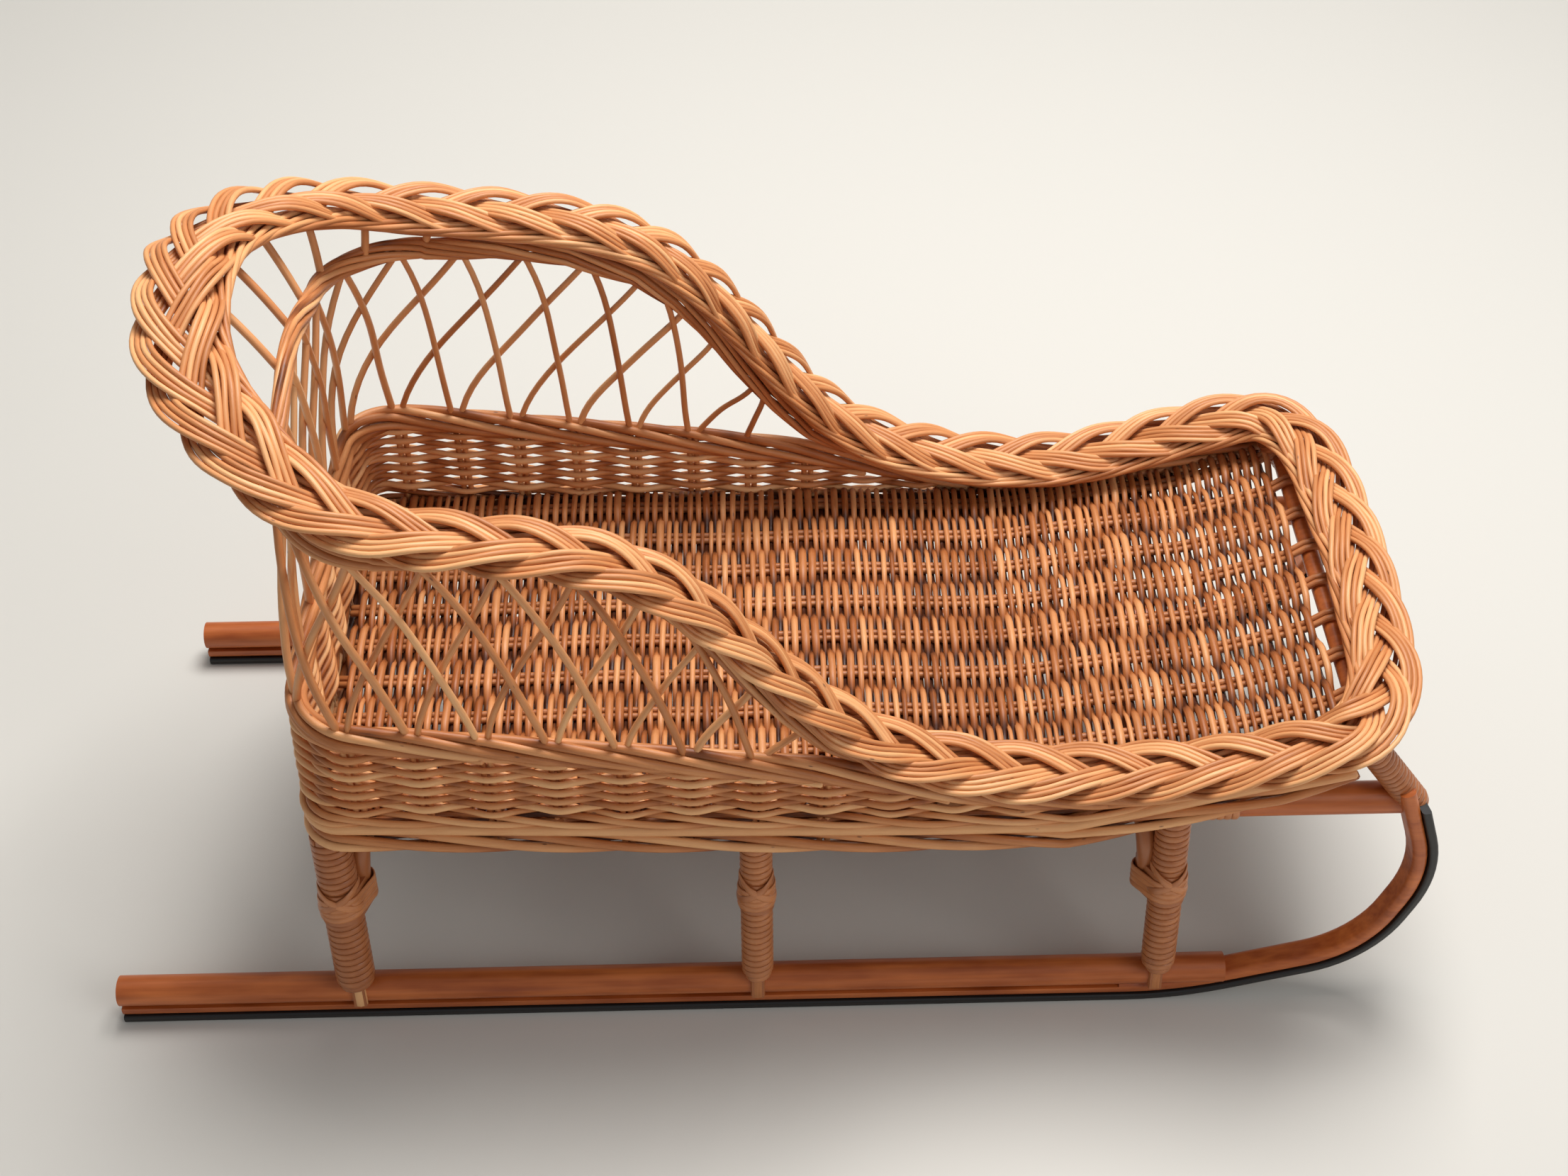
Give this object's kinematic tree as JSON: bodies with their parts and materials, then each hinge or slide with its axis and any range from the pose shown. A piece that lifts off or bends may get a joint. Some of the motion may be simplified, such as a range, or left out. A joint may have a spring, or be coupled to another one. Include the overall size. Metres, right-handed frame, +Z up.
{
  "type": "child's wicker snow sled",
  "caption": "Child's snow sled: a woven willow basket seat with a plaited rim, carried on wrapped posts above bent wooden runners.",
  "frame": {"origin": "on the floor, under the middle of the box that holds the sled", "axes": "+X forward, to where the runners bend up; +Z up; +Y to the rider's left"},
  "size_m": [0.953, 0.3972, 0.5533],
  "materials": {
    "buff_willow": "satin",
    "willow_skein": "gloss",
    "stained_wood": "satin",
    "sole_rubber": "satin"
  },
  "bodies": {
    "root": {"sole_right": "sole_rubber", "runner_strip_right": "stained_wood", "runner_pole_right": "stained_wood", "rail_right": "stained_wood", "rail_lashing_right": "willow_skein", "horn_right": "willow_skein", "post_rear_right": "willow_skein", "post_middle_right": "willow_skein", "post_front_right": "willow_skein", "collar_rear_right": "willow_skein", "collar_middle_right": "willow_skein", "collar_front_right": "willow_skein", "sole_left": "sole_rubber", "runner_strip_left": "stained_wood", "runner_pole_left": "stained_wood", "rail_left": "stained_wood", "rail_lashing_left": "willow_skein", "horn_left": "willow_skein", "post_rear_left": "willow_skein", "post_middle_left": "willow_skein", "post_front_left": "willow_skein", "collar_rear_left": "willow_skein", "collar_middle_left": "willow_skein", "collar_front_left": "willow_skein", "arch_rear": "willow_skein", "arch_middle": "willow_skein", "arch_front": "willow_skein", "basket_wall": "buff_willow", "basket_foot": "buff_willow", "seat_weave": "buff_willow", "upper_band": "buff_willow", "lattice_outer": "buff_willow", "lattice_inner": "buff_willow", "flare_stakes": "buff_willow", "rim_strand_1": "buff_willow", "rim_strand_2": "buff_willow", "rim_strand_3": "buff_willow", "rim_strand_4": "buff_willow", "rim_strand_5": "buff_willow", "seat_stick": "stained_wood"}
  },
  "joints": []
}
